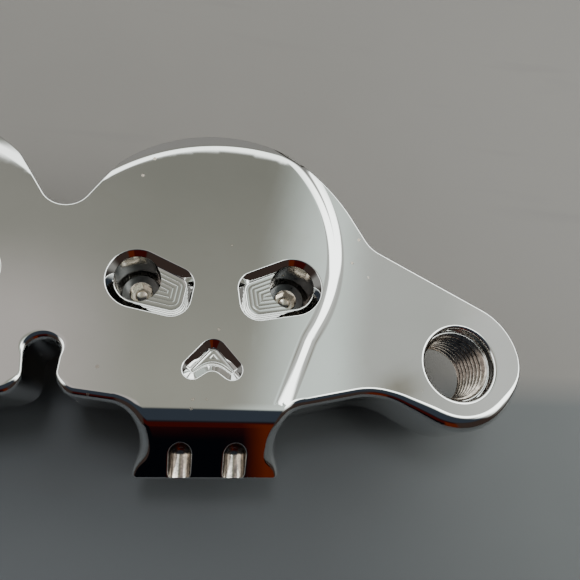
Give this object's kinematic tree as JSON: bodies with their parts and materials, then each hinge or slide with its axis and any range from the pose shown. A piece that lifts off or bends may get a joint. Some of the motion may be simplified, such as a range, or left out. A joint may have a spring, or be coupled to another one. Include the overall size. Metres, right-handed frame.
{
  "type": "twin skull mounting plate",
  "caption": "Thick polished plate shaped as two skulls side by side, with a threaded ear at each end and socket screws deep in the eye pockets.",
  "frame": {"origin": "centre of the plate's flat back face, on the line of the four screws", "axes": "+X along the plate to the right ear as seen from the front, +Y from the jaws to the crowns, +Z out of the front face"},
  "size_m": [0.234, 0.0882, 0.033],
  "materials": {
    "chrome_plate": "mirror polished",
    "screw_steel": "bright zinc"
  },
  "bodies": {
    "plate": {"skull_plate": "chrome_plate"},
    "screw_left_outer_body": {"screw_left_outer": "screw_steel"},
    "screw_left_inner_body": {"screw_left_inner": "screw_steel"},
    "screw_right_inner_body": {"screw_right_inner": "screw_steel"},
    "screw_right_outer_body": {"screw_right_outer": "screw_steel"}
  },
  "joints": [
    {"name": "screw_left_outer_turn", "type": "hinge", "parent": "plate", "child": "screw_left_outer_body", "pos_m": [-0.05715, 0, 0.003], "axis": [0, 0, 1], "continuous": true},
    {"name": "screw_left_inner_turn", "type": "hinge", "parent": "plate", "child": "screw_left_inner_body", "pos_m": [-0.01905, 0, 0.003], "axis": [0, 0, 1], "continuous": true},
    {"name": "screw_right_inner_turn", "type": "hinge", "parent": "plate", "child": "screw_right_inner_body", "pos_m": [0.01905, 0, 0.003], "axis": [0, 0, 1], "continuous": true},
    {"name": "screw_right_outer_turn", "type": "hinge", "parent": "plate", "child": "screw_right_outer_body", "pos_m": [0.05715, 0, 0.003], "axis": [0, 0, 1], "continuous": true}
  ]
}
